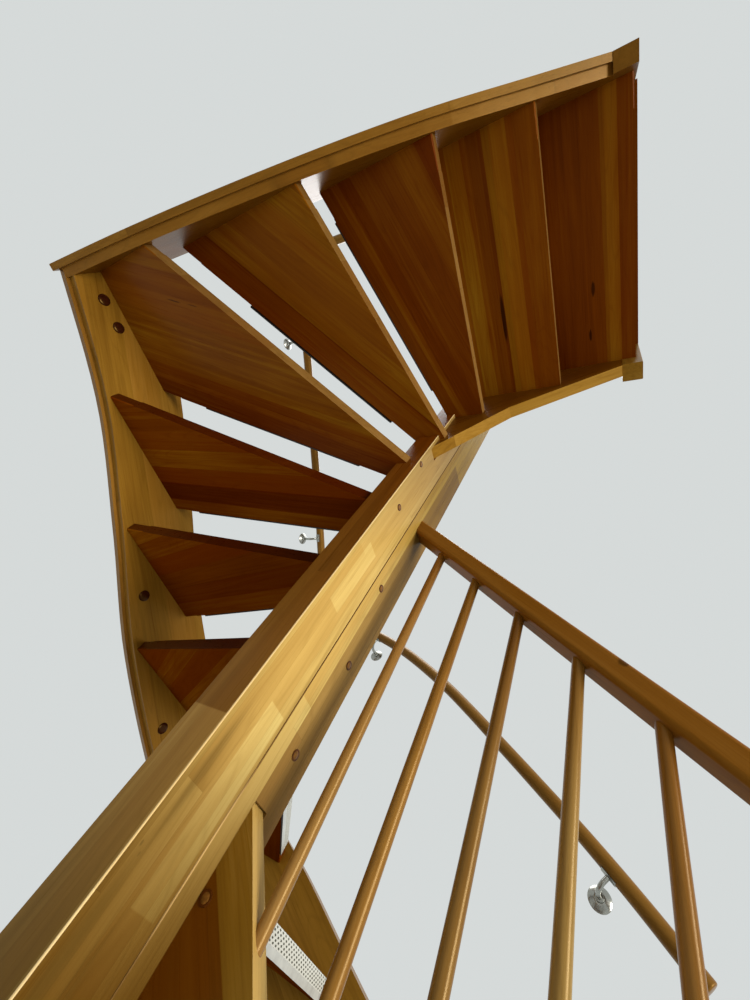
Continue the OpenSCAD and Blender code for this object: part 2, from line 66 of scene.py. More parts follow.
# Points of a CAD mesh nearer than this are one
WELD = 0.00002
# The rings of a swept bar lie further apart than this
RING_GAP = 0.04

# Tones of the varnished wood: dark, middle, light, and the red that some staves lean to; some are copies
# for painted light and shade, as noted
POST_TONES = ((0.26, 0.148, 0.029), (0.53, 0.355, 0.100), (0.68, 0.490, 0.165), (0.45, 0.255, 0.058))
# Painted shade: a darker copy of the post's tones for the newel's face that lies in shade
POST_SHADED_SIDE_TONES = ((0.14, 0.056, 0.007), (0.25, 0.108, 0.015), (0.35, 0.180, 0.030), (0.22, 0.084, 0.010))
# Painted highlight: paler tones for the newel's arrises
ARRIS_HIGHLIGHT_TONES = ((0.42, 0.270, 0.100), (0.66, 0.480, 0.220), (0.78, 0.600, 0.320), (0.58, 0.380, 0.150))
# Painted shade: dark tones for the faces in the seam between the newel's members
SEAM_SHADE_TONES = ((0.070, 0.032, 0.008), (0.11, 0.055, 0.015), (0.14, 0.075, 0.022), (0.10, 0.045, 0.010))
STRING_TONES = ((0.115, 0.046, 0.003), (0.235, 0.112, 0.011), (0.34, 0.180, 0.028), (0.21, 0.078, 0.006))
# Painted shade: a darker copy of the string's tones for faces in shade
SHADED_TONES = ((0.085, 0.026, 0.001), (0.17, 0.066, 0.003), (0.26, 0.122, 0.012), (0.15, 0.045, 0.002))
# Tones of the wall trims and end block; the upper outer string takes them as painted shade
TRIM_TONES = ((0.095, 0.036, 0.004), (0.20, 0.085, 0.010), (0.28, 0.135, 0.020), (0.18, 0.060, 0.005))
# Deeper and redder than the post's tones: partly the wood's own colour, partly painted shade of the
# undersides
TREAD_TONES = ((0.085, 0.012, 0.0004), (0.165, 0.036, 0.0008), (0.28, 0.098, 0.004), (0.15, 0.022, 0.0005))
# Painted shade: very dark tones for the rear faces of the treads up to tread 8 and of the landing
SHADED_REAR_TONES = ((0.03, 0.0035, 0.0001), (0.06, 0.009, 0.0003), (0.09, 0.018, 0.0008), (0.05, 0.006, 0.0002))
# Painted light: paler tones for the rear faces from tread 9 on
LIT_FLIGHT_REAR_TONES = ((0.10, 0.040, 0.006), (0.20, 0.098, 0.022), (0.28, 0.150, 0.040), (0.17, 0.068, 0.012))
RAIL_TONES = ((0.11, 0.034, 0.002), (0.215, 0.084, 0.008), (0.32, 0.150, 0.024), (0.18, 0.056, 0.004))
BALUSTER_TONES = ((0.10, 0.031, 0.002), (0.205, 0.082, 0.008), (0.33, 0.150, 0.020), (0.18, 0.054, 0.004))
WALL_RAIL_TONES = ((0.10, 0.042, 0.006), (0.22, 0.110, 0.021), (0.34, 0.195, 0.050), (0.19, 0.080, 0.012))

# Varnish throws back light with a golden cast, paler on the balusters
VARNISH_TINT = (1.0, 0.60, 0.14, 1.0)
BALUSTER_TINT = (1.0, 0.72, 0.34, 1.0)

# Tints that multiply the wood's colour in single staves, patches and clouds; some are painted light and
# shade, as noted
# Gold and deep tints under the treads: partly staves, partly painted reflection and shade; gold also paints
# pools of light
GOLD = (1.55, 2.70, 4.0)
DEEP = (0.62, 0.42, 0.45)
PALE = (1.34, 1.58, 2.0)
BROWN = (0.52, 0.42, 0.34)
OLIVE = (1.25, 1.60, 3.0)
# Painted reflection: the greyer lower part of the newel's shaded face
REFLECTION_GREY = (1.75, 2.20, 3.7)
# Painted shade: the redder top of the newel's shaded face
REDDER_TOP_SHADE = (0.78, 0.40, 0.05)
REDDISH = (0.72, 0.54, 0.28)
# Tint of the balusters' paler lower part
PALER_LOW = (1.7, 2.8, 8.0)
# Painted shade: tints that darken the newel's faces towards the foot and the top
FOOT_SHADE = (0.40, 0.30, 0.14)
SHADE = (0.28, 0.20, 0.08)
SIDE_FOOT_SHADE = (0.28, 0.30, 0.28)
TOP_SHADE = (0.47, 0.43, 0.42)
RIGHT_TOP_SHADE = (0.40, 0.35, 0.14)
# Painted shade in the newel's seam
SEAM_SHADE_TINT = (0.20, 0.14, 0.10)
# Painted highlight on the edge at the newel's seam
SEAM_LIT = (6.0, 8.0, 12.0)

# Patterns of the wood: how often each repeats in a metre along, across and through the grain
BANDS = (1.6, 42.0, 42.0)
STREAKS = (5.0, 190.0, 190.0)
FIBRES = (26.0, 1300.0, 1300.0)
FLECKS = (120.0, 1500.0, 1500.0)
CLOUDS = (2.2, 5.0, 5.0)
GROWTH = (1.3, 13.0, 13.0)
GROWTH_LINES = 15.0
# Width and depth of the line between two staves
JOINT_WIDTH = 0.0006
JOINT_SHARE = 0.42
JOINT_DEPTH = 0.7
# Height of the grain and how rough the varnish is over it
GRAIN_DEPTH = 0.0005
GRAIN_STRENGTH = 0.12
WOOD_ROUGHNESS = (0.26, 0.36)
# Edges of single staves, and where a cloud is full and gone
BAND_EDGE = 0.0008
PATCH_END = 0.002
PATCH_EDGE = 0.0005
CLOUD_REACH = (0.5, 1.5)
MARK_DARK = 0.30


class Tree:
    """A material's or group's node tree, with short calls that add nodes and join them."""

    def __init__(self, tree):
        self.tree = tree

    def add(self, kind, **settings):
        node = self.tree.nodes.new(kind)
        for key, value in settings.items():
            setattr(node, key, value)
        return node

    def feed(self, socket, value):
        if isinstance(value, bpy.types.NodeSocket):
            self.tree.links.new(value, socket)
        elif value is not None:
            socket.default_value = value

    def fill(self, node, values):
        for name, value in values.items():
            self.feed(node.inputs[name], value)

    def place(self):
        """Place in the model's frame."""
        return self.add("ShaderNodeTexCoord").outputs["Object"]

    def split(self, vector):
        node = self.add("ShaderNodeSeparateXYZ")
        self.feed(node.inputs[0], vector)
        return node.outputs

    def bump(self, height, strength, depth):
        node = self.add("ShaderNodeBump")
        self.fill(node, {"Strength": strength, "Distance": depth, "Height": height})
        return node.outputs[0]

    def mixed(self, factor, a, b):
        """Two shaders mixed."""
        node = self.add("ShaderNodeMixShader")
        for socket, value in zip(node.inputs, (factor, a, b)):
            self.feed(socket, value)
        return node.outputs[0]

    def tinted(self, factor, color, tint):
        """The colour multiplied by a tint where the factor says so."""
        return self.mix(factor, color, self.mix(1.0, color, tint, "MULTIPLY"))

    def math(self, operation, a, b=None, c=None):
        node = self.add("ShaderNodeMath", operation=operation)
        for socket, value in zip(node.inputs, (a, b, c)):
            self.feed(socket, value)
        return node.outputs[0]

    def vector(self, operation, a, b=None):
        node = self.add("ShaderNodeVectorMath", operation=operation)
        self.feed(node.inputs[0], a)
        self.feed(node.inputs[1], b)
        return node.outputs["Value" if operation in ("LENGTH", "DOT_PRODUCT") else "Vector"]

    def noise(self, vector, scale, detail=2.0, roughness=0.5, distortion=0.0):
        node = self.add("ShaderNodeTexNoise")
        self.fill(node, {"Vector": self.vector("MULTIPLY", vector, scale), "Scale": 1.0, "Detail": detail,
                         "Roughness": roughness, "Distortion": distortion})
        return node.outputs["Fac"]

    def span(self, value, low, high, to_low=0.0, to_high=1.0, smooth=False):
        node = self.add("ShaderNodeMapRange", clamp=True)
        node.interpolation_type = "SMOOTHSTEP" if smooth else "LINEAR"
        for socket, number in zip(node.inputs, (value, low, high, to_low, to_high)):
            self.feed(socket, number)
        return node.outputs[0]

    def mix(self, factor, a, b, blend="MIX"):
        node = self.add("ShaderNodeMix", data_type="RGBA", blend_type=blend)
        self.feed(node.inputs["Factor"], factor)
        for socket, value in ((node.inputs[6], a), (node.inputs[7], b)):
            self.feed(socket, (*value, 1.0) if isinstance(value, tuple) and len(value) == 3 else value)
        return node.outputs[2]


def random_of(tree, vector):
    """A random value and colour for each whole-number cell."""
    node = tree.add("ShaderNodeTexWhiteNoise", noise_dimensions="3D")
    tree.feed(node.inputs["Vector"], vector)
    return node.outputs["Value"], node.outputs["Color"]


def joined(tree, x, y, z):
    node = tree.add("ShaderNodeCombineXYZ")
    for socket, value in zip(node.inputs, (x, y, z)):
        tree.feed(socket, value)
    return node.outputs[0]


def stave_group():
    """Glued staves: x runs along the grain, y across the staves, z through the board."""
    group = bpy.data.node_groups.new("glued_staves", "ShaderNodeTree")
    for name, kind in (("Grain", "Vector"), ("Width", "Float"), ("Length", "Float"), ("Seed", "Float"),
                       ("Dark", "Color"), ("Middle", "Color"), ("Light", "Color"), ("Red", "Color"),
                       ("Contrast", "Float")):
        group.interface.new_socket(name, in_out="INPUT", socket_type="NodeSocket" + kind)
    for name, kind in (("Color", "Color"), ("Height", "Float"), ("Rough", "Float")):
        group.interface.new_socket(name, in_out="OUTPUT", socket_type="NodeSocket" + kind)
    t = Tree(group)
    given = t.add("NodeGroupInput").outputs
    along, across, _ = t.split(given["Grain"])

    row_at = t.math("ADD", t.math("DIVIDE", across, given["Width"]), t.math("MULTIPLY", given["Seed"], 3.7))
    row = t.math("FLOOR", row_at)
    row_random, _ = random_of(t, joined(t, row, given["Seed"], 0.5))
    column_at = t.math("MULTIPLY_ADD", row_random, 5.0, t.math("DIVIDE", along, given["Length"]))
    column = t.math("FLOOR", column_at)
    stave, stave_color = random_of(t, joined(t, row, column, given["Seed"]))
    place = t.vector("ADD", given["Grain"], t.vector("MULTIPLY", stave_color, (7.0, 3.0, 5.0)))
    tints = t.add("ShaderNodeSeparateColor")
    t.feed(tints.inputs[0], stave_color)

    bands = t.noise(place, BANDS, 3.0, 0.55, 0.9)
    streaks = t.noise(place, STREAKS, 3.0, 0.6, 0.4)
    fibres = t.noise(place, FIBRES, 2.0, 0.6)
    flecks = t.noise(place, FLECKS, 1.0, 0.5)
    clouds = t.noise(given["Grain"], CLOUDS, 2.0, 0.5)
    growth = t.math("MULTIPLY", t.noise(place, GROWTH, 1.0, 0.4, 0.5), GROWTH_LINES)
    growth = t.math("PINGPONG", growth, 0.5)

    tone = t.math("MULTIPLY_ADD", t.math("SUBTRACT", stave, 0.5), given["Contrast"], 0.5)
    for pattern, share in ((bands, 0.7), (streaks, 0.4), (clouds, 0.6)):
        tone = t.math("MULTIPLY_ADD", t.math("SUBTRACT", pattern, 0.5), share, tone)
    low = t.mix(t.span(tone, 0.0, 0.5), given["Dark"], given["Middle"])
    color = t.mix(t.span(tone, 0.5, 1.0), low, given["Light"])
    color = t.mix(t.span(tints.outputs[1], 0.55, 1.0, 0.0, 0.65), color, given["Red"])
    for pattern, reach in ((growth, (0.0, 0.16, 0.20, 0.0)), (fibres, (0.3, 0.7, 0.12, 0.0)),
                           (flecks, (0.62, 0.72, 0.0, 0.15))):
        color = t.mix(t.span(pattern, *reach), color, given["Dark"])

    side = t.math("MULTIPLY", t.math("PINGPONG", row_at, 0.5), given["Width"])
    end = t.math("MULTIPLY", t.math("PINGPONG", column_at, 0.5), given["Length"])
    joint = t.span(t.math("MINIMUM", side, end), 0.0, JOINT_WIDTH, 1.0, 0.0)
    color = t.mix(t.math("MULTIPLY", joint, JOINT_SHARE), color, given["Dark"])

    height = t.math("MULTIPLY_ADD", fibres, 0.5, t.math("MULTIPLY", streaks, 0.5))
    height = t.math("SUBTRACT", height, t.math("MULTIPLY", joint, JOINT_DEPTH))
    rough = t.span(streaks, 0.3, 0.7, *WOOD_ROUGHNESS)
    out = t.add("NodeGroupOutput")
    t.fill(out, {"Color": color, "Height": height, "Rough": rough})
    return group


STAVES = stave_group()


def new_material(name):
    material = bpy.data.materials.new(name)
    material.use_nodes = True
    tree = Tree(material.node_tree)
    shader = next(n for n in material.node_tree.nodes if n.type == "BSDF_PRINCIPLED")
    return material, tree, shader


def grain_axes(along, across):
    """Rotation that turns the model's axes to along the grain, across the staves and through the board."""
    x = Vector(along).normalized()
    z = x.cross(Vector(across)).normalized()
    return Matrix((x, z.cross(x), z))


def uneven_reach(tree, place, centre, length, width):
    """How far a place lies from a long spot's middle: about 1.5 at its uneven rim."""
    away = tree.vector("SUBTRACT", place, tuple(centre))
    away = tree.vector("MULTIPLY", away, (1 / length, 1 / width, 1 / length))
    wobble = tree.noise(place, (0.6 / length, 1.6 / width, 1.0), 3.0, 0.65)
    return tree.math("MULTIPLY_ADD", wobble, 0.9, tree.vector("LENGTH", away))


def wood(name, along, across, staves, tones, contrast=0.8, seed=1.0, marks=(), bands=(), patches=(),
         clouds=(), shine=SHINE, polish=1.0, sheen=VARNISH_TINT):
    """Varnished wood of glued staves.

    along and across are directions in the model, along the grain and across the staves.
    marks are knots and resin streaks: a point, half their length and width, how dark, how soft their edge.
    bands are strips along the whole board, for staves and for painted light and shade: from, to, a tint and
    its share.
    patches are single staves and painted reflections: a point, half their length and width, a tint and its
    share.
    clouds are patches with a soft edge.
    polish multiplies the roughness, and sheen is the cast of the light thrown back."""
    material, tree, shader = new_material(name)
    turn = tree.add("ShaderNodeMapping", vector_type="POINT")
    axes = grain_axes(along, across)
    tree.fill(turn, {"Rotation": axes.to_euler(), "Vector": tree.place()})
    group = tree.add("ShaderNodeGroup", node_tree=STAVES)
    tree.fill(group, {"Grain": turn.outputs[0], "Width": staves[0], "Length": staves[1], "Seed": seed,
                      "Contrast": contrast})
    for key, tone in zip(("Dark", "Middle", "Light", "Red"), tones):
        group.inputs[key].default_value = (*tone, 1.0)
    color = group.outputs["Color"]
    along_at, across_at, _ = tree.split(turn.outputs[0])
    for low, high, tint, share in bands:
        middle, half = (low + high) / 2, (high - low) / 2
        away = tree.math("ABSOLUTE", tree.math("SUBTRACT", across_at, middle))
        mask = tree.span(away, half - BAND_EDGE, half + BAND_EDGE, share, 0.0)
        color = tree.tinted(mask, color, tint)
    for point, length, width, tint, share in patches:
        centre = axes @ Vector(point)
        run = tree.math("ABSOLUTE", tree.math("SUBTRACT", along_at, centre.x))
        side = tree.math("ABSOLUTE", tree.math("SUBTRACT", across_at, centre.y))
        mask = tree.math("MULTIPLY", tree.span(run, length - PATCH_END, length, share, 0.0),
                         tree.span(side, width - PATCH_EDGE, width + PATCH_EDGE, 1.0, 0.0))
        color = tree.tinted(mask, color, tint)
    for point, length, width, tint, share in clouds:
        reach = uneven_reach(tree, turn.outputs[0], axes @ Vector(point), length, width)
        mask = tree.span(reach, *CLOUD_REACH, share, 0.0, smooth=True)
        color = tree.tinted(mask, color, tint)
    for point, length, width, share, softness in marks:
        reach = uneven_reach(tree, turn.outputs[0], axes @ Vector(point), length, width)
        dark = tuple(MARK_DARK * c for c in tones[0])
        mask = tree.span(reach, CLOUD_REACH[1] - softness, CLOUD_REACH[1], share, 0.0, smooth=True)
        color = tree.mix(mask, color, dark)
    tree.fill(shader, {"Base Color": color, "Specular IOR Level": shine, "Specular Tint": sheen,
                       "Roughness": tree.math("MULTIPLY", group.outputs["Rough"], polish),
                       "Normal": tree.bump(group.outputs["Height"], GRAIN_STRENGTH, GRAIN_DEPTH)})
    return material


# Plastic of caps and plugs, turned steel of the brackets
CAP_VARNISH = {"Specular IOR Level": 0.25, "Specular Tint": VARNISH_TINT}
CAP_ROUGHNESS = (0.16, 0.22)
CAP_MOTTLE = (160.0, 160.0, 160.0)
STEEL_COLORS = ((0.33, 0.33, 0.295), (0.37, 0.37, 0.335))
STEEL_ROUGHNESS = (0.24, 0.28)
STEEL_BRUSHING = (300.0, 300.0, 300.0)


def mottled(name, colors, roughness, scale, edges, settings):
    """Material whose colour and roughness vary a little between two values."""
    material, tree, shader = new_material(name)
    mottle = tree.noise(tree.place(), scale, 2.0, 0.6)
    tree.fill(shader, {"Base Color": tree.mix(tree.span(mottle, *edges), *colors),
                       "Roughness": tree.span(mottle, *edges, *roughness), **settings})
    return material


def shades(color, share):
    """A deeper shade of a colour, and the colour."""
    return tuple(share * c for c in color), color


def cap_plastic(name, color):
    return mottled(name, shades(color, 0.55), CAP_ROUGHNESS, CAP_MOTTLE, (0.3, 0.7), CAP_VARNISH)


# Slots of the mats: spacing of the rows, spacing and shift along a row, length and height
HOLE_ROW = 0.0047
HOLE_PITCH = 0.0185
HOLE_SHIFT = 0.0069
HOLE_L = 0.0088
HOLE_H = 0.0031
HOLE_RIM = (0.42, 0.58)
HOLE_COLOR = (0.045, 0.045, 0.024)
# Vinyl of the mats: lows and highs of the sheet, smooth lip, back
SHEET_COLORS = ((0.53, 0.53, 0.46), (0.66, 0.66, 0.59))
LIP_COLOR = (0.55, 0.56, 0.51)
BACK_COLOR = (0.018, 0.017, 0.016)
SHEET_GRAIN = (900.0, 900.0, 900.0)
SHEET_DEPTH = 0.0008
LIP_MOTTLE = (35.0, 35.0, 35.0)


def mat_perforated(name):
    """White vinyl with staggered rows of small holes."""
    material, tree, shader = new_material(name)
    place = tree.add("ShaderNodeUVMap", uv_map="mat").outputs[0]
    across_at, up_at, _ = tree.split(place)
    up = tree.math("DIVIDE", up_at, HOLE_ROW)
    row = tree.math("FLOOR", up)
    along = tree.math("ADD", across_at, tree.math("MULTIPLY", row, HOLE_SHIFT))
    along = tree.math("FRACT", tree.math("DIVIDE", along, HOLE_PITCH))
    across = tree.math("SUBTRACT", tree.math("FRACT", up), 0.5)
    away = joined(tree, tree.math("MULTIPLY", tree.math("SUBTRACT", along, 0.5), HOLE_PITCH / HOLE_L),
                  tree.math("MULTIPLY", across, HOLE_ROW / HOLE_H), 0.0)
    hole = tree.span(tree.vector("LENGTH", away), *HOLE_RIM, 1.0, 0.0, smooth=True)
    weave = tree.noise(place, SHEET_GRAIN, 2.0, 0.6)
    white = tree.mix(tree.span(weave, 0.3, 0.7), *SHEET_COLORS)
    height = tree.math("MULTIPLY_ADD", weave, 0.3, tree.math("SUBTRACT", 1.0, hole))
    tree.fill(shader, {"Base Color": tree.mix(hole, white, HOLE_COLOR), "Roughness": 0.5,
                       "Normal": tree.bump(height, 0.5, SHEET_DEPTH)})
    return material


# Way up each straight flight: 0.81 of rise to 1 of going
LOWER_SLOPE = Vector((-1, 0, 0.81))
UPPER_SLOPE = Vector((1, 0, 0.81))
# A face looks a way when its normal has more than the first share of it, and is upright below the second
FACED = 0.3
UPRIGHT = 0.1


def climb_at(point):
    """Level direction in which the stair climbs past a point: round the newel."""
    return Vector((-point.y, point.x, 0)).normalized()


def front_direction(node):
    """Level direction along the front face of a tread."""
    mesh = nodes[node].data
    low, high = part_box(node)
    climb = climb_at((low + high) / 2)
    areas = {}
    for face in mesh.polygons:
        n = face.normal
        if abs(n.z) < UPRIGHT and n.dot(climb) < -FACED:
            key = (round(n.x, 2), round(n.y, 2))
            areas[key] = areas.get(key, 0.0) + face.area
    nx, ny = max(areas, key=areas.get)
    return Vector((-ny, nx, 0)).normalized()


def welded(node):
    """A copy of a CAD node's mesh with its flat faces whole again."""
    bm = bmesh.new()
    bm.from_mesh(nodes[node].data)
    bmesh.ops.remove_doubles(bm, verts=bm.verts, dist=WELD)
    bmesh.ops.dissolve_limit(bm, angle_limit=math.radians(0.4), verts=bm.verts, edges=bm.edges)
    return bm


def mesh_from(name, bm):
    mesh = bpy.data.meshes.new(name)
    bm.to_mesh(mesh)
    bm.free()
    return mesh


def linked(name, data):
    """A new object in the scene."""
    made = bpy.data.objects.new(name, data)
    bpy.context.scene.collection.objects.link(made)
    return made


def new_piece(name, bm, material, replaced, smooth_angle=40.0):
    mesh = mesh_from(name, bm)
    for face in mesh.polygons:
        face.use_smooth = True
    mesh.set_sharp_from_angle(angle=math.radians(smooth_angle))
    for one in material if isinstance(material, list) else [material]:
        mesh.materials.append(one)
    piece = linked(name, mesh)
    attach(piece, "root")
    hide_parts(replaced)
    return piece


def weigh_normals(mesh, angle=50.0):
    """Corner normals that follow the larger faces: flat faces stay flat beside their rounded edges."""
    limit = math.cos(math.radians(angle))
    around = [[] for _ in mesh.vertices]
    for face in mesh.polygons:
        for v in face.vertices:
            around[v].append(face)
    normals = []
    for face in mesh.polygons:
        for v in face.vertices:
            total = Vector()
            for other in around[v]:
                if other.normal.dot(face.normal) > limit:
                    total += other.normal * other.area
            normals.append(total.normalized() if total.length > 0 else face.normal.copy())
    mesh.normals_split_custom_set(normals)


def softened(node, width, material, choose=None, shortest=0.0):
    """Stands for a CAD board: the same board with its edges rounded over, but for the shortest.

    choose names the material of a face by its normal and its middle."""
    bm = welded(node)
    edges = [e for e in bm.edges if len(e.link_faces) == 2 and e.calc_face_angle(0) > math.radians(20)
             and e.calc_length() > max(shortest, 3 * width)]
    bmesh.ops.bevel(bm, geom=edges, offset=width, offset_type="OFFSET", segments=3, profile=0.5,
                    clamp_overlap=True)
    bmesh.ops.triangulate(bm, faces=[f for f in bm.faces if len(f.verts) > 4])
    if choose:
        for face in bm.faces:
            face.material_index = choose(face.normal, face.calc_center_median())
    piece = new_piece(node + "_board", bm, material, node, 180.0)
    weigh_normals(piece.data)
    return piece


def repaint(node, material):
    mesh = nodes[node].data
    mesh.materials.clear()
    mesh.materials.append(material)


# Resin streaks and cracks under the treads: a point, half the length and width, how dark and how soft
TREAD_MARKS = {
    8: (((-0.378, -0.676, 1.446), 0.012, 0.0022, 0.8, 0.4),
        ((-0.334, -0.647, 1.446), 0.018, 0.0018, 0.6, 0.4)),
    9: (((-0.610, -0.712, 1.631), 0.030, 0.0024, 0.8, 0.5),
        ((-0.545, -0.682, 1.631), 0.022, 0.0018, 0.7, 0.5)),
    12: (((0.207, -0.360, 2.186), 0.085, 0.0080, 0.95, 0.4),),
    13: (((0.469, -0.356, 2.371), 0.026, 0.0060, 0.9, 0.4),
         ((0.454, -0.209, 2.371), 0.022, 0.0048, 0.95, 0.4)),
}

# Bands under the treads, partly staves and partly painted reflection and shade along the front edge: from
# and to behind the front edge, tint and share
TREAD_BANDS = {
    5: ((-0.01, 0.10, DEEP, 0.5),),
    6: ((-0.01, 0.115, DEEP, 0.5),),
    7: ((-0.01, 0.065, GOLD, 0.15), (0.065, 0.13, DEEP, 0.5)),
    8: ((-0.01, 0.048, GOLD, 0.06), (0.048, 0.115, DEEP, 0.8)),
    9: ((-0.01, 0.055, DEEP, 0.65), (0.11, 0.60, GOLD, 0.35)),
    10: ((-0.01, 0.085, GOLD, 0.02), (0.085, 0.089, DEEP, 0.7), (0.089, 0.60, GOLD, 0.55)),
    11: ((-0.01, 0.066, GOLD, 0.12), (0.066, 0.60, DEEP, 0.45)),
    12: ((-0.01, 0.067, GOLD, 0.70), (0.067, 0.118, GOLD, 0.16), (0.118, 0.130, DEEP, 0.35),
         (0.130, 0.196, GOLD, 0.90), (0.196, 0.40, GOLD, 0.12)),
    13: ((-0.01, 0.17, DEEP, 0.20), (0.19, 0.235, GOLD, 0.42), (0.235, 0.262, DEEP, 0.4)),
}

# Painted light: a golden pool of light in the middle of the winders' undersides
TREAD_LIGHT_POOLS = {
    5: (((-0.120, -0.165, 0.891), 0.26, 0.075, GOLD, 0.55),),
    6: (((-0.260, -0.220, 1.076), 0.27, 0.100, GOLD, 0.50),),
    7: (((-0.280, -0.410, 1.261), 0.27, 0.110, GOLD, 0.55),),
    8: (((-0.330, -0.600, 1.446), 0.36, 0.160, GOLD, 0.95),),
}


TREADS = range(1, 14)
# From this tread on, undersides shine a little and rear faces take paler painted light in place of the dark
# painted shade
FIRST_SHINY = 9
TREAD_CONTRAST = 0.35


def make_treads():
    for k in TREADS:
        node = "tread_%02d" % k
        along = front_direction(node)
        behind = UP.cross(along)
        low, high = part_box(node)
        climb = climb_at((low + high) / 2)
        front = min(v.co.dot(behind) for v in nodes[node].data.vertices)
        bands = [(front + a, front + b, tint, share) for a, b, tint, share in TREAD_BANDS.get(k, ())]
        looks = dict(contrast=TREAD_CONTRAST, seed=float(k), marks=TREAD_MARKS.get(k, ()),
                     clouds=TREAD_LIGHT_POOLS.get(k, ()), bands=bands)
        board = wood(node + "_wood", along, behind, TREAD_STAVE, TREAD_TONES, **looks)
        under = wood(node + "_under_wood", along, behind, TREAD_STAVE, TREAD_TONES,
                     shine=LOW_SHINE if k >= FIRST_SHINY else 0.0, **looks)
        # Rear faces take their own tones: painted shade up to tread 8, painted light from tread 9 on
        painted_rear = wood(node + "_painted_rear_wood", along, behind, TREAD_STAVE,
                    LIT_FLIGHT_REAR_TONES if k >= FIRST_SHINY else SHADED_REAR_TONES, 0.3, float(k), shine=LOW_SHINE)

        def side_of(n, at):
            if n.z < -0.5:
                return 1
            return 2 if n.dot(climb) > FACED and abs(n.z) < 0.5 else 0

        softened(node, SOFT_EDGE, [board, under, painted_rear], side_of)
    last = float(TREADS.stop)
    board = wood("landing_wood", (0, 1, 0), (1, 0, 0), TREAD_STAVE, TREAD_TONES, TREAD_CONTRAST, last,
                 shine=LOW_SHINE)
    # The landing's face towards +x takes the dark rear tones: painted shade
    painted_rear = wood("landing_painted_rear_wood", (0, 1, 0), (1, 0, 0), TREAD_STAVE, SHADED_REAR_TONES, 0.3, last, shine=0.0)
    softened("landing_board", SOFT_EDGE, [board, painted_rear], lambda n, at: 1 if n.x > 0.5 else 0)


# Grain of the outer strings and their trim, and a seed for their staves
OUTER_STRINGS = {"lower": (LOWER_SLOPE * Vector((1, 1, 0.62)), 1.0), "side": (Vector((0, -1, 0.43)), 2.0),
                 "upper": (UPPER_SLOPE * Vector((1, 1, 0.62)), 3.0)}
# An inner string has a paler strip below its top edge, and is redder below that
STRIP_WIDTH = 0.060


def across_of(along):
    """Direction across the staves of a string that climbs in a direction along x or y."""
    return Vector((-along.z * math.copysign(1, along.x) if along.x else 0,
                   -along.z * math.copysign(1, along.y) if along.y else 0, 1))


def make_outer_strings():
    for side, (along, seed) in OUTER_STRINGS.items():
        across = across_of(along)
        # The upper string takes the trim's darker tones: painted shade
        tones = TRIM_TONES if side == "upper" else STRING_TONES
        board = wood("outer_string_%s_wood" % side, along, across, STRING_STAVE, tones, 0.35, seed)
        # Faces towards +y take the shaded tones: painted shade
        shaded = wood("outer_string_%s_shaded_wood" % side, along, across, STRING_STAVE, SHADED_TONES,
                      0.35, seed, shine=LOW_SHINE)
        softened("outer_string_" + side, STRING_EDGE, [board, shaded],
                 lambda n, at: 1 if n.y > 0.7 else 0)
        trim = wood("wall_trim_%s_wood" % side, along, across, STRING_STAVE, TRIM_TONES, 0.3, seed + 4)
        softened("wall_trim_" + side, SOFT_EDGE, trim)


def make_inner_strings():
    for side, along, seed in (("lower", LOWER_SLOPE, 7.0), ("upper", UPPER_SLOPE, 8.0)):
        across = across_of(along)
        axes = grain_axes(along, across)
        edge = max((axes @ v.co).y for v in nodes["inner_string_" + side].data.vertices)
        strip = edge - STRIP_WIDTH
        bands = ((strip, edge + 0.01, OLIVE, 0.8), (edge - 1.0, strip, REDDISH, 1.0))
        ends = wood("inner_string_%s_wood" % side, along, across, STRING_STAVE, STRING_TONES, 0.4, seed,
                    shine=LOW_SHINE)
        # The broad faces take the shaded tones: painted shade
        face = wood("inner_string_%s_side_wood" % side, along, across, STRING_STAVE, SHADED_TONES, 0.4,
                    seed, bands=bands)
        top = wood("inner_string_%s_top_wood" % side, along, (0, 1, 0), STRING_STAVE, POST_TONES, 0.3, seed,
                   shine=FAINT_SHINE)

        def side_of(n, at):
            if abs(n.y) > 0.9:
                return 1
            return 2 if n.z > FACED else 0

        softened("inner_string_" + side, INNER_EDGE, [ends, face, top], side_of)


def make_end_block():
    block = wood("string_end_block_wood", (0, 0, 1), (1, 0, 0), STRING_STAVE, TRIM_TONES, 0.4, 9.0)
    softened("string_end_block", SOFT_EDGE, block)


# The newel's face towards the lower flight: darker heart, knots, paler staves, and a darker foot and top
# that are painted shade.
# Each spot begins with its place across the face and its height.
NEWEL_FACE_X = 0.0365
NEWEL_MARKS = {
    "newel_upper": ((-0.093, 0.560, 0.200, 0.014, 0.45, 0.8), (-0.088, 0.790, 0.110, 0.010, 0.40, 0.8),
                    (-0.060, 0.520, 0.150, 0.012, 0.35, 0.8), (-0.100, 0.706, 0.004, 0.0020, 0.5, 0.5),
                    (-0.093, 0.698, 0.003, 0.0014, 0.4, 0.5)),
    "newel_lower": (),
}
NEWEL_PATCHES = {
    "newel_upper": ((-0.064, 1.205, 0.090, 0.0200, PALE, 0.45), (-0.032, 0.790, 0.128, 0.0230, PALE, 0.60),
                    (-0.090, 1.500, 0.240, 0.0160, PALE, 0.15)),
    "newel_lower": ((0.013, 0.500, 0.469, 0.0250, PALE, 0.50), (0.085, 0.950, 0.950, 0.0480, BROWN, 0.80)),
}
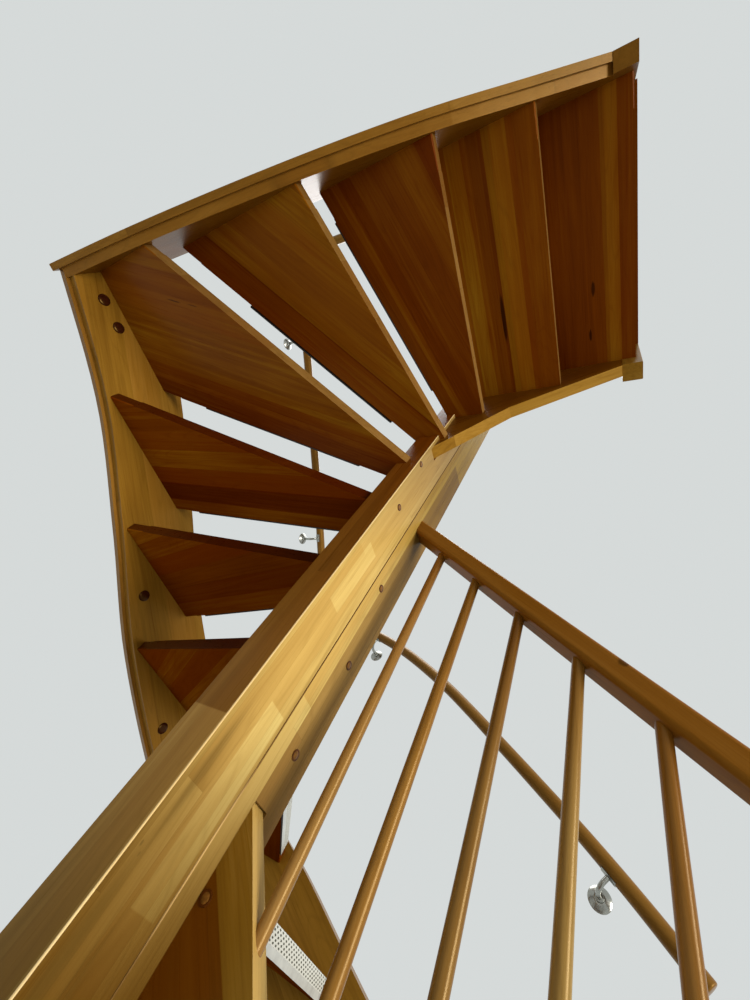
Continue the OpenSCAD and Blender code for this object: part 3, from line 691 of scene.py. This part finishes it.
# Painted shade: the face darkens towards its foot and its top
NEWEL_SHADE_CLOUDS = {
    "newel_upper": ((-0.070, 0.300, 0.75, 0.60, FOOT_SHADE, 1.0), (-0.070, 0.500, 0.50, 0.60, SHADE, 1.0),
                    (-0.070, 2.000, 1.00, 0.60, TOP_SHADE, 1.0)),
    "newel_lower": ((0.060, 0.300, 0.75, 0.60, FOOT_SHADE, 1.0), (0.060, 0.500, 0.50, 0.60, SHADE, 0.95),
                    (0.060, 1.900, 0.90, 0.60, RIGHT_TOP_SHADE, 1.0)),
}
# A dark line along the seam: painted shade in the groove between the members
NEWEL_SEAM_SHADE = ((-0.0012, 0.0012, SEAM_SHADE_TINT, 0.9),)
NEWEL_SHINE = 0.10
# Its face towards the upper flight: a greyer lower part up to a glued joint, which is a painted reflection,
# and a redder top and a darker foot, which are painted shade
NEWEL_JOINT = 0.856
SIDE_REFLECTION_PATCHES = (((0, 0, NEWEL_JOINT / 2), NEWEL_JOINT / 2, 0.2, REFLECTION_GREY, 0.9),)
SIDE_SHADE_CLOUDS = (((0, 0, 2.0), 1.20, 0.6, REDDER_TOP_SHADE, 1.0), ((0, 0, 0.35), 0.62, 0.6, SIDE_FOOT_SHADE, 1.0))
# Painted highlight on the lower member's edge at the seam, at this height
SEAM_HIGHLIGHTS = {"newel_upper": (), "newel_lower": (((0, 0, 0.745), 0.125, 0.05, SEAM_LIT, 0.8),)}
# The seam lies in the middle of the newel, its outer arrises further out than this
SEAM_HALF = 0.05


def newel_part(n, at):
    """Material of a face of the newel: 0 broad, 1 narrow and in painted shade, 2 an arris with a painted
    highlight, 3 an edge at the seam in painted shade.
    """
    if n.y < -0.95 and at.y < -SEAM_HALF:
        return 1
    if abs(n.z) < 0.2 and FACED < abs(n.y) < 0.95:
        return 2 if abs(at.y) > SEAM_HALF else 3
    return 0


def make_newel():
    for node, seed in (("newel_upper", 1.0), ("newel_lower", 2.0)):
        marks, patches, clouds = ([((NEWEL_FACE_X, y, z), *rest) for y, z, *rest in spots[node]]
                                  for spots in (NEWEL_MARKS, NEWEL_PATCHES, NEWEL_SHADE_CLOUDS))
        face = wood(node + "_wood", (0, 0, 1), (0, 1, 0), POST_STAVE, POST_TONES, 0.35, seed, marks=marks,
                    patches=patches, clouds=clouds, bands=NEWEL_SEAM_SHADE, shine=NEWEL_SHINE)
        # The face towards the upper flight takes the darker copy of the tones: painted shade
        side = wood(node + "_side_wood", (0, 0, 1), (1, 0, 0), POST_STAVE, POST_SHADED_SIDE_TONES, 0.4, seed + 5,
                    patches=SIDE_REFLECTION_PATCHES, clouds=SIDE_SHADE_CLOUDS, shine=LOW_SHINE)
        # Arrises take paler tones: a painted highlight
        arris_highlight = wood(node + "_arris_highlight_wood", (0, 0, 1), (0, 1, 0), POST_STAVE, ARRIS_HIGHLIGHT_TONES, 0.3, seed)
        # Faces at the seam take dark tones: painted shade
        seam_shade = wood(node + "_seam_shade_wood", (0, 0, 1), (0, 1, 0), POST_STAVE, SEAM_SHADE_TONES, 0.3, seed,
                    clouds=SEAM_HIGHLIGHTS[node])
        softened(node, POST_EDGE, [face, side, arris_highlight, seam_shade], newel_part, POST_EDGE_SHORTEST)


def make_end_posts():
    for node, seed in (("start_post", 3.0), ("arrival_post", 4.0)):
        plain = wood(node + "_wood", (0, 0, 1), (0, 1, 0), POST_STAVE, STRING_TONES, 0.35, seed)
        softened(node, POST_EDGE, plain, shortest=POST_EDGE_SHORTEST)


# A knot in the lower handrail
RAIL_MARKS = {"lower": (((0.513, 0.034, 1.167), 0.010, 0.0030, 0.7, 0.5),)}
BALUSTER_SHINE = 0.32
BALUSTER_POLISH = 0.8
# How pale the balusters are in their lower part, from the lowest one up, and how far round it
PALE_SHARES = (0.3, 0.8, 0.4, 0.1, 0.45)
PALE_ABOVE = Vector((0, 0, 0.08))
PALE_REACH = (0.75, 0.060)


def pale_clouds(node):
    """A paler cloud in the lower part of each baluster."""
    feet = [min(points, key=lambda p: p.z) for points in islands(node)]
    return [(foot + PALE_ABOVE, *PALE_REACH, PALER_LOW, share) for foot, share in zip(feet, PALE_SHARES)]


def make_rails():
    for side, along, seed in (("lower", LOWER_SLOPE, 1.0), ("upper", UPPER_SLOPE, 2.0)):
        rail = wood("handrail_%s_wood" % side, along, (0, 1, 0), RAIL_STAVE, RAIL_TONES, 0.3, seed,
                    marks=RAIL_MARKS.get(side, ()), shine=LOW_SHINE)
        softened("handrail_" + side, SOFT_EDGE, rail)
        balusters = "balusters_" + side
        repaint(balusters, wood(balusters + "_wood", (0, 0, 1), (1, 0, 0), BALUSTER_STAVE, BALUSTER_TONES,
                                0.5, seed + 2, clouds=pale_clouds(balusters), shine=BALUSTER_SHINE,
                                polish=BALUSTER_POLISH, sheen=BALUSTER_TINT))


# Parts of a smooth line between two of its points
LINE_PARTS = 6
# How far the ends of wall rails and arms are rounded over
WALL_RAIL_END = 0.004
ARM_END = 0.0008


def ring_centres(node, axis):
    """Centres of the rings of a swept bar, in order along an axis."""
    points = {tuple(round(c, 5) for c in v.co) for v in nodes[node].data.vertices}
    rings, last = [], None
    for point in sorted(points, key=lambda p: p[axis]):
        if last is None or point[axis] - last > RING_GAP:
            rings.append([])
        rings[-1].append(Vector(point))
        last = point[axis]
    return [sum(ring, Vector()) / len(ring) for ring in rings]


def through(points, parts):
    """Smooth line through points."""
    ends = [2 * points[0] - points[1]] + points + [2 * points[-1] - points[-2]]
    line = []
    for a, b, c, d in zip(ends, ends[1:], ends[2:], ends[3:]):
        for i in range(parts):
            t = i / parts
            line.append(0.5 * (2 * b + (c - a) * t + (2 * a - 5 * b + 4 * c - d) * t * t
                               + (3 * b - a - 3 * c + d) * t ** 3))
    return line + [points[-1]]


def skin(bm, rings):
    """Faces between rings of points and over the ends; a last ring of one point is a tip."""
    for low, high in zip(rings, rings[1:]):
        for i in range(len(low)):
            k = (i + 1) % len(low)
            bm.faces.new((low[i], low[k], *((high[k], high[i]) if len(high) > 1 else high)))
    for end in (rings[0][::-1], rings[-1]):
        if len(end) > 1:
            bm.faces.new(end)


def tube(line, radius, sides, round_end):
    """Round bar along a line, its end edges rounded over."""
    bm = bmesh.new()
    rings = []
    last = len(line) - 1
    stations = []
    for i, point in enumerate(line):
        ahead = (line[min(i + 1, last)] - line[max(i - 1, 0)]).normalized()
        if i in (0, last):
            inward = ahead if i == 0 else -ahead
            turns = [0.0, 0.35, 0.7, 1.0]
            ease = [(point + inward * round_end * (1 - math.sin(t * math.pi / 2)),
                     radius - round_end * (1 - math.cos(t * math.pi / 2)), ahead) for t in reversed(turns)]
            stations += ease if i == 0 else list(reversed(ease))
        else:
            stations.append((point, radius, ahead))
    for centre, size, ahead in stations:
        level = Vector((-ahead.y, ahead.x, 0)).normalized()
        rings.append(ring(bm, centre, size, level, ahead.cross(level), sides))
    skin(bm, rings)
    bmesh.ops.recalc_face_normals(bm, faces=bm.faces)
    return bm


def make_wall_rails():
    for side, axis, seed in (("lower", 0, 5.0), ("side", 1, 6.0), ("upper", 0, 7.0)):
        node = "wall_handrail_" + side
        centres = ring_centres(node, axis)
        along = centres[-1] - centres[0]
        across = (0, 1, 0) if axis == 0 else (1, 0, 0)
        material = wood(node + "_wood", along, across, RAIL_STAVE, WALL_RAIL_TONES, 0.4, seed)
        low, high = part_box(node)
        radius = (high[1 - axis] - low[1 - axis]) / 2
        bm = tube(through(centres, LINE_PARTS), radius, 40, WALL_RAIL_END)
        new_piece(node + "_bar", bm, material, node)


def islands(node):
    """The separate solids of a node, each as a list of points, in one order in every run."""
    bm = bmesh.new()
    bm.from_mesh(nodes[node].data)
    bmesh.ops.remove_doubles(bm, verts=bm.verts, dist=WELD)
    seen, groups = set(), []
    for first in bm.verts:
        if first in seen:
            continue
        seen.add(first)
        stack, group = [first], []
        while stack:
            vert = stack.pop()
            group.append(vert.co.copy())
            for edge in vert.link_edges:
                other = edge.other_vert(vert)
                if other not in seen:
                    seen.add(other)
                    stack.append(other)
        groups.append(group)
    bm.free()
    return sorted(groups, key=lambda g: min(p.z for p in g))


# Height of the smooth lip, thickness of the sheet, radius over the nosing, taper of the flap's foot
LIP_H = 0.013
MAT_SHEET = 0.0042
MAT_NOSE = 0.005
MAT_TAPER = 0.008
MAT_COLUMNS = 40


def make_mats():
    """Half-oval mats: a perforated sheet over the nosing, a smooth lip along its bottom, a black back."""
    materials = [mat_perforated("mat_sheet")]
    for name, color, rough in (("mat_lip", LIP_COLOR, 0.3), ("mat_back", BACK_COLOR, 0.6)):
        materials.append(mottled(name, shades(color, 0.75), (rough, rough), LIP_MOTTLE, (0.3, 0.7), {}))
    bm = bmesh.new()
    uv_layer = bm.loops.layers.uv.new("mat")
    for points in islands("stair_mats"):
        add_mat(bm, uv_layer, points)
    new_piece("stair_mats_sheets", bm, materials, "stair_mats", 60.0)


def flap_ends(foot):
    """The two feet of a flap that lie furthest apart, on opposite corners, and the flap's length."""
    a, b = max(((p, q) for p in foot for q in foot), key=lambda pair: (pair[0] - pair[1]).length)
    thick = min((p - a).length for p in foot if (p - a).length > 0.0005)
    return a, b, math.sqrt((b - a).length ** 2 - thick ** 2)


def rim_of(grid):
    """The border of a grid of rows, once round."""
    return ([row[0] for row in grid] + grid[-1][1:] + [row[-1] for row in reversed(grid[:-1])]
            + list(reversed(grid[0][1:-1])))


def add_mat(bm, uv_layer, points):
    """One mat over its nosing, in the place of the plain solid that these points are of."""
    floor_z = min(p.z for p in points)
    top_z = max(p.z for p in points)
    foot = [p for p in points if p.z < floor_z + 0.0001]
    a, b, length = flap_ends(foot)
    along = min((p - a for p in foot if (p - a).length > 0.1), key=lambda v: abs(v.length - length))
    along.z = 0
    along.normalize()
    middle = sum(foot, Vector()) / len(foot)
    behind = Vector((-along.y, along.x, 0))
    if (sum(points, Vector()) / len(points) - middle).dot(behind) < 0:
        behind = -behind
    front = min((p - middle).dot(behind) for p in points)
    reach = max((p - middle).dot(behind) for p in points)
    start = middle - along * (middle - (a + b) / 2).dot(along)
    grids = []
    for depth in (0.0, MAT_SHEET):
        grid = []
        for n, z, normal_n, normal_z, share, run in mat_profile(front, reach, floor_z, top_z):
            row = []
            for i in range(MAT_COLUMNS + 1):
                s = (-1 + 2 * i / MAT_COLUMNS) * length / 2 * share
                base = start + along * s + behind * (n - normal_n * depth)
                row.append((bm.verts.new((base.x, base.y, z - normal_z * depth)), s, run))
            grid.append(row)
        grids.append(grid)
    for grid, inside in zip(grids, (False, True)):
        for r0, r1 in zip(grid, grid[1:]):
            for c in range(MAT_COLUMNS):
                quad = [r0[c], r0[c + 1], r1[c + 1], r1[c]]
                if inside:
                    quad.reverse()
                add_mat_face(bm, uv_layer, quad, inside, floor_z)
    outer, inner = (rim_of(grid) for grid in grids)
    for i in range(len(outer)):
        j = (i + 1) % len(outer)
        add_mat_face(bm, uv_layer, [outer[j], outer[i], inner[i], inner[j]], True, floor_z)


def add_mat_face(bm, uv_layer, corners, inside, floor_z):
    """A face between corners, each a point with its place in the pattern; corners may meet."""
    verts = []
    for corner in corners:
        if corner[0] not in verts:
            verts.append(corner[0])
    if len(verts) < 3:
        return
    face = bm.faces.new(verts)
    for loop, corner in zip(face.loops, corners):
        loop[uv_layer].uv = (corner[1], corner[2])
    height = sum(v.co.z for v in verts) / len(verts)
    face.material_index = 2 if inside else (1 if height < floor_z + LIP_H else 0)


def mat_profile(front, reach, floor_z, top_z):
    """Rows from the flap's foot up over the nosing and back.

    Each has its place, outward normal, share of the width, and run of the sheet up to it."""
    rows = []
    flap_h = top_z - floor_z - MAT_NOSE
    for t in (0.0, 0.02, 0.12, LIP_H / flap_h, LIP_H / flap_h + 0.03, 0.6, 1.0):
        rows.append([front, floor_z + t * flap_h, -1.0, 0.0, 1.0 - MAT_TAPER * (1 - min(1.0, t * 6)) ** 2])
    for i in range(1, 5):
        a = math.radians(22.5 * i)
        rows.append([front + MAT_NOSE * (1 - math.cos(a)), top_z - MAT_NOSE * (1 - math.sin(a)),
                     -math.cos(a), math.sin(a), 1.0])
    first = front + MAT_NOSE
    for i in range(1, 15):
        angle = math.radians(90 * i / 14)
        share = max(0.02, math.cos(angle))
        n = first + (reach - first) * math.sin(angle) ** 0.8
        rows.append([n, top_z, 0.0, 1.0, share])
    run = 0.0
    out = []
    for i, row in enumerate(rows):
        if i:
            run += math.hypot(row[0] - rows[i - 1][0], row[1] - rows[i - 1][1])
        out.append((*row, run))
    return out


def ring(bm, centre, radius, side, other, count):
    """Points round a centre, or one point where the radius is nought."""
    angles = (2 * math.pi * i / count for i in range(count if radius else 1))
    return [bm.verts.new(centre + radius * (math.cos(a) * side + math.sin(a) * other)) for a in angles]


def lathe(bm, centre, axis, profile, sides=48):
    """Turned form: pairs of height along the axis and radius, closed where the radius is nought."""
    side = axis.orthogonal().normalized()
    other = axis.cross(side)
    rings = [ring(bm, centre + axis * height, radius, side, other, sides) for height, radius in profile]
    skin(bm, rings)


# Bracket: rosette and collar as height off the wall and radius, arm as way off the wall and rise
ROSETTE = ((0.0, 0.0280), (0.0016, 0.0280), (0.0024, 0.0274), (0.0050, 0.0215), (0.0078, 0.0150),
           (0.0088, 0.0125), (0.0089, 0.0102), (0.0160, 0.0102), (0.0176, 0.0094), (0.0184, 0.0076),
           (0.0186, 0.0))
ARM = ((0.0046, 0.0), (0.0216, -0.0014), (0.0385, -0.0041), (0.0539, -0.0027), (0.0670, 0.0041),
       (0.0747, 0.0136), (0.0770, 0.0323))
ARM_R = 0.006
ARM_OUT = 0.077
ARM_RISE = 0.034
# Saddle: half its length and width, thickness, chamfer of its ends, overlap with the rail
SADDLE_HALF = (0.019, 0.010)
SADDLE_T = 0.003
SADDLE_CHAMFER = 0.0006
SADDLE_BITE = 0.0002
WALL_RAIL_R = 0.020
WALLS = (Vector((0, 1, 0)), Vector((-1, 0, 0)), Vector((0, -1, 0)))


def add_saddle(bm, rail_centre, up, side):
    """Curved plate under the rail: an arc round the rail's centre, run along it."""
    out = side.cross(up)
    reach = SADDLE_HALF[1] / WALL_RAIL_R
    angles = [-reach + reach * i / 4 for i in range(9)]
    rings = []
    inset = SADDLE_HALF[0] - SADDLE_CHAMFER
    for along in (-SADDLE_HALF[0], -inset, inset, SADDLE_HALF[0]):
        low, high = WALL_RAIL_R - SADDLE_BITE, WALL_RAIL_R + SADDLE_T
        if abs(along) > inset:
            high -= SADDLE_CHAMFER
        arc = [(high, a) for a in angles] + [(low, a) for a in reversed(angles)]
        rings.append([bm.verts.new(rail_centre + side * along + r * (math.sin(a) * out - math.cos(a) * up))
                      for r, a in arc])
    skin(bm, rings)


def make_brackets():
    whole = bmesh.new()
    for points in islands("handrail_brackets"):
        wall = max(WALLS, key=lambda w: max(p.dot(w) for p in points))
        face = max(p.dot(wall) for p in points)
        rim = [p for p in points if p.dot(wall) > face - 0.0002]
        centre = sum(rim, Vector()) / len(rim)
        out = -wall
        foot = centre + out * ARM_OUT
        # The saddle's points lie further out than the arm's bend and beyond its end
        saddle = [p - foot for p in points
                  if (p - centre).dot(out) > ARM_OUT - 2 * ARM_R and (p - foot).length > WALL_RAIL_R]
        middle = sum(saddle, Vector()) / len(saddle)
        middle -= out * middle.dot(out)
        up = middle.normalized()
        side = out.cross(up)
        lathe(whole, centre, out, ROSETTE)
        line = through([centre + out * a + up * b for a, b in ARM], LINE_PARTS)
        mesh = mesh_from("arm", tube(line, ARM_R, 20, ARM_END))
        whole.from_mesh(mesh)
        bpy.data.meshes.remove(mesh)
        add_saddle(whole, foot + up * (ARM_RISE + WALL_RAIL_R), up, side)
    bmesh.ops.recalc_face_normals(whole, faces=whole.faces)
    steel = mottled("bracket_steel", STEEL_COLORS, STEEL_ROUGHNESS, STEEL_BRUSHING, (0.2, 0.8),
                    {"Metallic": 1.0})
    new_piece("handrail_brackets_turned", whole, steel, "handrail_brackets", 32.0)


def facing(points):
    """Middle of the back, direction and height of a button that stands on a level-sided board."""
    low = Vector(min(p[i] for p in points) for i in range(3))
    high = Vector(max(p[i] for p in points) for i in range(3))
    size = high - low
    middle = (low + high) / 2
    thin = min(range(3), key=lambda i: size[i])
    axis = Vector((1, 0, 0)) if thin == 0 else Vector((0, 1 if middle.y < -0.2 else -1, 0))
    return middle - axis * size[thin] / 2, axis, size[thin], max(size) / 2


# Turned forms of a domed cap and of a plug with a ring round its core: shares of height and radius
CAP_FORM = ((0.0, 1.0), (0.35, 1.0), (0.62, 0.93), (0.82, 0.78), (0.94, 0.52), (0.99, 0.25), (1.0, 0.0))
PLUG_FORM = ((0.0, 1.0), (0.55, 1.0), (0.72, 0.90), (0.66, 0.74), (0.60, 0.66), (0.80, 0.58), (0.96, 0.40),
             (1.0, 0.0))
PLUG_CORE = 0.62
CAP_COLOR = (0.035, 0.007, 0.002)
PLUG_RING_COLOR = (0.085, 0.022, 0.003)
PLUG_CORE_COLOR = (0.20, 0.082, 0.014)


def make_buttons(node, form, name, materials, core=0.0):
    """Turned buttons; the faces within a share of the radius take the second material."""
    bm = bmesh.new()
    for points in islands(node):
        back, axis, height, radius = facing(points)
        before = len(bm.faces)
        lathe(bm, back, axis, [(a * height, b * radius) for a, b in form], 40)
        bm.faces.ensure_lookup_table()
        for face in bm.faces[before:]:
            off = face.calc_center_median() - back
            if (off - axis * off.dot(axis)).length < core * radius:
                face.material_index = 1
    bmesh.ops.recalc_face_normals(bm, faces=bm.faces)
    new_piece(name, bm, materials, node, 50.0)


def make_fittings():
    make_buttons("screw_caps", CAP_FORM, "screw_caps_domed", [cap_plastic("cap_brown_plastic", CAP_COLOR)])
    make_buttons("newel_plugs", PLUG_FORM, "newel_plugs_ringed",
                 [cap_plastic("plug_ring_plastic", PLUG_RING_COLOR),
                  cap_plastic("plug_core_plastic", PLUG_CORE_COLOR)], PLUG_CORE)
    make_brackets()


# Camera of the photograph: under the stair, beside the newel, looking up
CAMERA_AT = (0.5055, -0.550, 0.684)
CAMERA_RIGHT = (0.8589, 0.2894, 0.4226)
CAMERA_UP = (0.0307, -0.8527, 0.5215)
CAMERA_LENS = 14.41


def make_camera():
    camera = bpy.data.cameras.new("camera")
    camera.lens = CAMERA_LENS
    camera.sensor_width = 36.0
    camera.clip_start = 0.01
    holder = linked("camera", camera)
    right = Vector(CAMERA_RIGHT).normalized()
    back = right.cross(Vector(CAMERA_UP)).normalized()
    turn = Matrix((right, back.cross(right), back)).transposed()
    holder.matrix_world = Matrix.Translation(CAMERA_AT) @ turn.to_4x4()
    bpy.context.scene.camera = holder


# The floor lies a little below the stair and fades out between two distances
FLOOR_R = 3.2
FLOOR_DROP = 0.002
FLOOR_FADE = (1.5, 2.3)
FLOOR_COLOR = (0.92, 0.97, 0.96, 1.0)
FLOOR_ROUGHNESS = 0.8
BACKGROUND = (0.67, 0.70, 0.695, 1.0)
SKYLIGHT = (0.92, 0.96, 1.0, 1.0)
SKYLIGHT_STRENGTH = 0.36


def make_floor():
    """Pale floor round the stair that fades out into the background."""
    bm = bmesh.new()
    bmesh.ops.create_circle(bm, cap_ends=True, segments=96, radius=FLOOR_R)
    bmesh.ops.translate(bm, verts=bm.verts, vec=(0, 0, -FLOOR_DROP))
    floor = linked("floor", mesh_from("floor", bm))
    material, tree, shader = new_material("floor_pale")
    tree.fill(shader, {"Base Color": FLOOR_COLOR, "Roughness": FLOOR_ROUGHNESS})
    gone = tree.span(tree.vector("LENGTH", tree.place()), *FLOOR_FADE, smooth=True)
    clear = tree.add("ShaderNodeBsdfTransparent").outputs[0]
    output = next(n for n in material.node_tree.nodes if n.type == "OUTPUT_MATERIAL")
    tree.feed(output.inputs["Surface"], tree.mixed(gone, shader.outputs[0], clear))
    floor.data.materials.append(material)


def make_world():
    """Pale colour behind the stair for the camera and in reflections, softer light on the stair."""
    world = bpy.data.worlds.new("studio")
    bpy.context.scene.world = world
    world.use_nodes = True
    tree = Tree(world.node_tree)
    world.node_tree.nodes.clear()
    ray = tree.add("ShaderNodeLightPath").outputs
    seen = tree.math("MAXIMUM", ray["Is Camera Ray"], ray["Is Transmission Ray"])
    seen = tree.math("MAXIMUM", seen, ray["Is Glossy Ray"])
    shown, light = (tree.add("ShaderNodeBackground") for _ in range(2))
    tree.fill(shown, {"Color": BACKGROUND})
    tree.fill(light, {"Color": SKYLIGHT, "Strength": SKYLIGHT_STRENGTH})
    both = tree.mixed(seen, light.outputs[0], shown.outputs[0])
    tree.feed(tree.add("ShaderNodeOutputWorld").inputs["Surface"], both)


# Name, place, aim, size, power, colour and spread in degrees
LAMPS = (("window_side", (3.4, -0.6, 1.4), (0.0, 0.0, 1.15), (1.9, 1.9), 34.0, (1.0, 0.97, 0.92), 72.0),
         ("top", (-1.5, 0.6, 5.4), (0.0, 0.0, 1.0), (3.0, 3.0), 140.0, (1.0, 1.0, 1.0), 180.0),
         ("front", (0.6, -3.6, 1.4), (0.0, 0.0, 1.5), (2.4, 2.0), 5.0, (1.0, 1.0, 1.0), 180.0))


def make_lamps():
    for name, at, aim, size, power, color, spread in LAMPS:
        lamp = bpy.data.lights.new(name, "AREA")
        lamp.shape = "RECTANGLE"
        lamp.size, lamp.size_y = size
        lamp.energy = power
        lamp.color = color
        lamp.spread = math.radians(spread)
        holder = linked(name, lamp)
        holder.location = at
        holder.rotation_euler = (Vector(aim) - Vector(at)).to_track_quat("-Z", "Y").to_euler()


make_treads()
make_outer_strings()
make_inner_strings()
make_end_block()
make_newel()
make_end_posts()
make_rails()
make_wall_rails()
make_mats()
make_fittings()
make_floor()
make_world()
make_lamps()
make_camera()
bpy.context.scene.view_settings.view_transform = "Standard"
